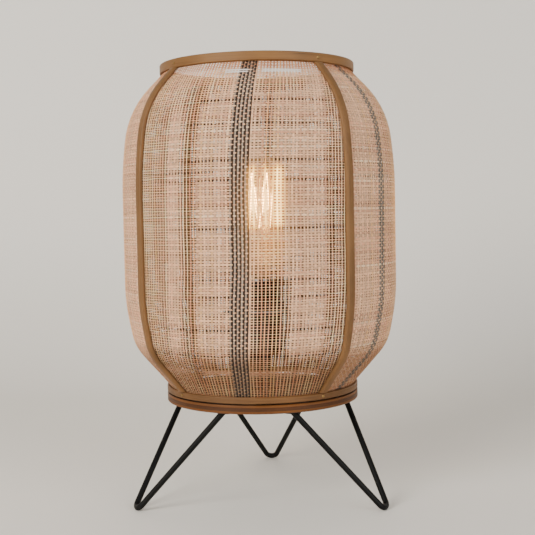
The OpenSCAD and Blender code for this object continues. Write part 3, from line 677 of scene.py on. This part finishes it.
class Cloth:
    """Collects the yarns of one panel and turns them into one mesh of closed tubes."""

    def __init__(self):
        self.points, self.faces, self.colours, self.glow, self.lay, self.bake = [], [], [], [], [], []
        self.count = 0
        self.rows = 0

    def lay_out(self, flat):
        """Gives the corners of some faces their places for the grain and for baking."""
        self.lay.append((flat + [0, self.rows * GRAIN_STEP]).reshape(-1, 2))
        self.bake.append((flat + [0, self.rows * STRIP_WIDTH * BAKE_STEP]).reshape(-1, 2))

    def yarn(self, centre, across, outward, half_width, half_thick, colour, glow, sides):
        n = len(centre)
        a = np.arange(sides) * 2 * math.pi / sides + (math.pi / 2 if sides % 2 else math.pi / sides)
        ring = (centre[:, None] + across[:, None] * (np.cos(a)[None, :, None] * half_width[:, None, None])
            + outward[:, None] * (np.sin(a)[None, :, None] * half_thick[:, None, None]))
        i, j = np.meshgrid(np.arange(n - 1), np.arange(sides), indexing="ij")
        i, j = i.ravel(), j.ravel()
        k = (j + 1) % sides
        quads = np.c_[i * sides + j, i * sides + k, (i + 1) * sides + k, (i + 1) * sides + j]
        along = np.r_[0, np.cumsum(np.linalg.norm(np.diff(centre, axis=0), axis=1))]
        u = np.c_[along[i], along[i], along[i + 1], along[i + 1]]
        v = np.c_[j, j + 1, j + 1, j] / sides * STRIP_WIDTH
        self.faces.append(quads + self.count)
        self.points.append(ring.reshape(-1, 3))
        # Painted shade: the corners on each yarn's inner side get the dark inside colour, so the inside of
        # the shade looks dark
        inward = np.tile(np.sin(a) < INNER_SIDE, n)[:, None]
        self.colours.append(np.repeat(colour, sides, axis=0) * np.where(inward, INSIDE_PAINTED_SHADE, 1.0))
        self.glow.append(np.repeat(glow, sides))
        self.lay_out(np.stack([u, v], -1))
        first = np.arange(sides)[None, ::-1] + self.count
        last = np.arange(sides)[None] + (n - 1) * sides + self.count
        for end, at in ((first, 0.0), (last, along[-1])):
            self.faces.append(end)
            self.lay_out(np.c_[np.full(sides, at), np.arange(sides) / sides * STRIP_WIDTH])
        self.count += n * sides
        self.rows += 1

    def mesh(self, name):
        points = np.concatenate(self.points)
        sizes = np.concatenate([np.full(len(f), f.shape[1]) for f in self.faces])
        corners = np.concatenate([f.ravel() for f in self.faces])
        mesh = bpy.data.meshes.new(name)
        mesh.vertices.add(len(points))
        mesh.vertices.foreach_set("co", points.astype(np.float32).ravel())
        mesh.loops.add(len(corners))
        mesh.loops.foreach_set("vertex_index", corners.astype(np.int32))
        mesh.polygons.add(len(sizes))
        mesh.polygons.foreach_set("loop_start", np.r_[0, np.cumsum(sizes)[:-1]].astype(np.int32))
        mesh.polygons.foreach_set("use_smooth", sizes == 4)
        mesh.update(calc_edges=True)
        colour = mesh.attributes.new("yarn", "FLOAT_COLOR", "POINT")
        rgba = np.c_[np.concatenate(self.colours), np.ones(len(points))]
        colour.data.foreach_set("color", rgba.astype(np.float32).ravel())
        glow = mesh.attributes.new("glow", "FLOAT", "POINT")
        glow.data.foreach_set("value", np.concatenate(self.glow).astype(np.float32))
        bake = np.concatenate(self.bake)
        bake /= bake.max() * 1.001
        for label, values in (("Lay", np.concatenate(self.lay)), ("OFBake", bake)):
            layer = mesh.uv_layers.new(name=label)
            layer.data.foreach_set("uv", values.astype(np.float32).ravel())
        mesh.validate()
        return mesh


def weave_warps(woven, wall, cloth, warps, heights, gaps):
    """The upright yarns from one rib to the other, each with a dark one beside it in a stripe."""
    fine = np.linspace(0, wall.total, WARP_SAMPLES)
    fine_rz = wall.line_at(fine)
    room = wall.reach * wall.spread_radius(fine_rz[:, 0])
    fine_lean = wall.lean(fine_rz[:, 1])
    drifts = [smooth_noise(len(heights), *WARP_UNEVEN["drift"]) * MM for _ in warps]

    def warp(s, drift_by_row, parity, colour, dark=False):
        inside = fine[room >= np.abs(s + fine_lean)]
        if len(inside) < SHORTEST_WARP:
            return
        keep = (heights > inside[0]) & (heights < inside[-1])
        at = np.r_[inside[0], heights[keep], inside[-1]]
        index = np.r_[0, np.nonzero(keep)[0], 0]
        wave = np.where((index + parity) % 2 == 0, 1.0, -1.0) * YARN_WAVE
        if dark:
            wave = STRIPE_WAVE * wave + STRIPE_LIFT * YARN_WAVE
        wave[[0, -1]] = 0
        z = wall.line_at(at)[:, 1]
        drift = np.interp(at, heights, drift_by_row) + wall.lean(z)
        centre, side, _, out = wall.place(at, s + drift, wave)
        n = len(at)
        width = 0.5 * WARP_PITCH * smooth_noise(n, *WARP_UNEVEN["width"])
        width *= rng.uniform(*WARP_SPREAD["width"])
        if dark:
            width *= STRIPE_COVER
        else:
            width *= WARP_COVER + cloth["tight"] - WARP_THINNING * openness(cloth, s / MM, z / MM)
        for above, a, b, much in gaps:
            if a < s / MM < b:
                width *= 1 - WARP_AT_GAP * much * ((index == above) | (index == above - 1))
        thick = YARN_HALF_THICK * smooth_noise(n, *WARP_UNEVEN["thick"])
        tone = colour * rng.uniform(*WARP_SPREAD["tone"]) * smooth_noise(n, *WARP_UNEVEN["tone"])[:, None]
        tone = lightened(cloth, tone, s / MM, z / MM)
        glow = bulb_glow(cloth, s / MM, z / MM)
        woven.yarn(centre, side, out, width, thick, tinted(tone, z / MM, glow), glow, WARP_SIDES)

    for j, s in enumerate(warps):
        colour = pick(**WARP_COLOURS)
        for a, b, other in cloth["tints"]:
            if a <= s / MM < b:
                colour = (1 - TINT_SHARE) * colour + TINT_SHARE * other
        if any(a <= s / MM < b for a, b in cloth["stripes"]):
            warp(s, drifts[j], j, COOL)
            warp(s + WARP_PITCH / 2, drifts[j], j, CHARCOAL, dark=True)
        else:
            warp(s, drifts[j], j, colour)


def weave_wefts(woven, wall, cloth, warps, heights, gaps):
    """The level yarns from the bottom hoop to the top one."""
    for i, t in enumerate(heights):
        r, z = wall.line_at(np.array([t]))[0]
        limit = wall.reach * wall.spread_radius(r)
        shift = wall.lean(z)
        keep = np.abs(warps + shift) < limit - EDGE_CLEARANCE
        across = np.r_[-limit, warps[keep] + shift, limit]
        cut = np.r_[across[0] - shift, warps[keep], across[-1] - shift] / MM
        index = np.r_[0, np.nonzero(keep)[0], 0]
        wave = np.where((index + i) % 2 == 0, -1.0, 1.0) * YARN_WAVE
        wave[[0, -1]] = 0
        n = len(across)
        width = 0.5 * WEFT_PITCH * smooth_noise(n, *WEFT_UNEVEN["width"])
        width *= rng.uniform(*WEFT_SPREAD["width"])
        width *= WEFT_COVER + WEFT_TIGHT * cloth["tight"] - WEFT_THINNING * openness(cloth, cut, z / MM)
        width *= np.where(smooth_noise(n, *WEFT_UNEVEN["thin"]) > THIN_LEVEL, THIN_PLACE, 1.0)
        drift = np.interp(cut, warps / MM, smooth_noise(len(warps), *WEFT_UNEVEN["drift"])) * MM
        for above, a, b, much in gaps:
            if above - 2 <= i <= above + 1:
                mask = np.clip(np.minimum(cut - a, b - cut) / GAP_FADE, 0, 1) * much
                second = 0 if i in (above - 1, above) else 1
                drift += mask * GAP_PUSH[second] * (1 if i >= above else -1) * MM
                width *= 1 - mask * WEFT_AT_GAP[second]
        thick = YARN_HALF_THICK * smooth_noise(n, *WEFT_UNEVEN["thick"])
        base = pick(**WEFT_COLOURS)
        tone = base * rng.uniform(*WEFT_SPREAD["tone"]) * smooth_noise(n, *WEFT_UNEVEN["tone"])[:, None]
        tone = lightened(cloth, tone, cut, z / MM)
        for row, a, b in cloth["hem"]:
            if abs(z / MM - row) < HEM_REACH * WEFT_PITCH / MM:
                sewn = (cut > a) & (cut < b)
                tone[sewn] = HEM
                width[sewn] = HEM_HALF_WIDTH * WEFT_PITCH
                wave[sewn] = HEM_WAVE * YARN_WAVE
        centre, _, climb, out = wall.place(np.clip(t + drift, 0, wall.total), across, wave)
        level = np.full(n, z / MM)
        glow = bulb_glow(cloth, cut, level)
        woven.yarn(centre, climb, out, width, thick, tinted(tone, level, glow), glow, WEFT_SIDES)


def weave_panel(number, cloth, skew):
    """Weaves one panel of the shade in place of its CAD node."""
    node = f"fabric_panel_{number}"
    wall = Wall(node, skew)
    half = wall.reach * wall.belly + EDGE_SPARE
    count = int(2 * half / WARP_PITCH)
    warps = (np.arange(count) - (count - 1) / 2) * 2 * half / count
    heights = wall.evenly(WEFT_PITCH)
    row_heights = wall.line_at(heights)[:, 1] / MM
    gaps = [(np.searchsorted(row_heights, row), a, b, much) for row, a, b, much in cloth["rows"]]
    woven = Cloth()
    weave_warps(woven, wall, cloth, warps, heights, gaps)
    weave_wefts(woven, wall, cloth, warps, heights, gaps)

    panel = bpy.data.objects.new(f"linen_panel_{number}", woven.mesh(f"linen_panel_{number}"))
    bpy.context.scene.collection.objects.link(panel)
    panel.data.materials.append(LINEN)
    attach(panel, "lamp")
    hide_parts(node)


LINEN = linen_yarn("linen yarn")


# ---------------------------------------------------------------- stage, light and camera

def make_stage():
    """A pale floor that curves up into a pale wall."""
    half_width, floor_front, bend_at, bend, wall_top, steps = 4.0, -3.0, 0.55, 0.35, 3.0, 12
    profile = [(floor_front, 0.0), (bend_at, 0.0)]
    for k in range(1, steps + 1):
        a = k / steps * math.pi / 2
        profile.append((bend_at + bend * math.sin(a), bend - bend * math.cos(a)))
    profile.append((bend_at + bend, wall_top))
    verts, faces = [], []
    for y, z in profile:
        verts += [(-half_width, y, z), (half_width, y, z)]
    for k in range(len(profile) - 1):
        faces.append((2 * k, 2 * k + 1, 2 * k + 3, 2 * k + 2))
    mesh = bpy.data.meshes.new("sweep")
    mesh.from_pydata(verts, [], faces)
    for face in mesh.polygons:
        face.use_smooth = True
    sweep = bpy.data.objects.new("sweep", mesh)
    bpy.context.scene.collection.objects.link(sweep)
    material = new_material("pale floor", Base_Color=linear(243, 238, 228), Roughness=0.6)[0]
    mesh.materials.append(material)


def area_light(name, place, aim, size, power, colour):
    """A round soft light at a place, turned to an aim; power in watts."""
    data = bpy.data.lights.new(name, "AREA")
    data.shape = "DISK"
    data.size = size
    data.energy = power
    data.color = colour
    lamp = bpy.data.objects.new(name, data)
    bpy.context.scene.collection.objects.link(lamp)
    lamp.location = place
    lamp.rotation_euler = (Vector(aim) - Vector(place)).to_track_quat("-Z", "Y").to_euler()


def bulb_light():
    """The light that the glowing filament gives."""
    low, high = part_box("filament")
    data = bpy.data.lights.new("bulb light", "POINT")
    data.energy = 0.04
    data.color = (1.0, 0.66, 0.34)
    data.shadow_soft_size = 0.016
    lamp = bpy.data.objects.new("bulb light", data)
    bpy.context.scene.collection.objects.link(lamp)
    lamp.location = (low + high) / 2


def make_world():
    """Weak cool light from all sides."""
    world = bpy.data.worlds.new("studio")
    bpy.context.scene.world = world
    world.use_nodes = True
    back = world.node_tree.nodes["Background"]
    back.inputs["Color"].default_value = (0.93, 0.95, 1.0, 1.0)
    back.inputs["Strength"].default_value = 0.22


def make_camera():
    """The camera stands at an azimuth around the lamp, and is turned from a level look at the axis."""
    azimuth, pitch, roll, yaw = (math.radians(a) for a in (3.75, 3.158, -1.073, 0.40))
    distance, height = 1.0933, 0.3036
    sensor, lens = 36.0, 68.393271
    data = bpy.data.cameras.new("camera")
    data.sensor_width = sensor
    data.lens = lens
    camera = bpy.data.objects.new("camera", data)
    bpy.context.scene.collection.objects.link(camera)
    heading = yaw - azimuth
    ahead = Vector((math.sin(heading), math.cos(heading), 0))
    level = Vector((math.cos(heading), -math.sin(heading), 0))
    forward = ahead * math.cos(pitch) - Vector((0, 0, 1)) * math.sin(pitch)
    up = level.cross(forward)
    right_axis = level * math.cos(roll) + up * math.sin(roll)
    up_axis = up * math.cos(roll) - level * math.sin(roll)
    place = Vector((math.sin(azimuth), -math.cos(azimuth), 0)) * distance + Vector((0, 0, height))
    camera.matrix_world = Matrix((
        (right_axis.x, up_axis.x, -forward.x, place.x),
        (right_axis.y, up_axis.y, -forward.y, place.y),
        (right_axis.z, up_axis.z, -forward.z, place.z),
        (0, 0, 0, 1),
    ))
    bpy.context.scene.camera = camera


make_camera()
make_world()
make_stage()
LAMP_MIDDLE = (0, 0, 0.25)
area_light("window", (-1.5, -2.0, 1.3), LAMP_MIDDLE, size=1.6, power=80.0, colour=(1.0, 0.97, 0.93))
area_light("fill", (1.7, -1.7, 1.0), LAMP_MIDDLE, size=2.0, power=36.0, colour=(0.97, 0.98, 1.0))
bulb_light()

paint_bamboo()
paint_black_parts()
paint_metal_and_ceramic()
paint_bulb()
weave_panel(1, FRONT, skew=0.006)
weave_panel(2, made_up_cloth(stripe=-68), skew=0.002)
weave_panel(3, made_up_cloth(stripe=20), skew=-0.003)
weave_panel(4, made_up_cloth(stripe=-20), skew=0.004)
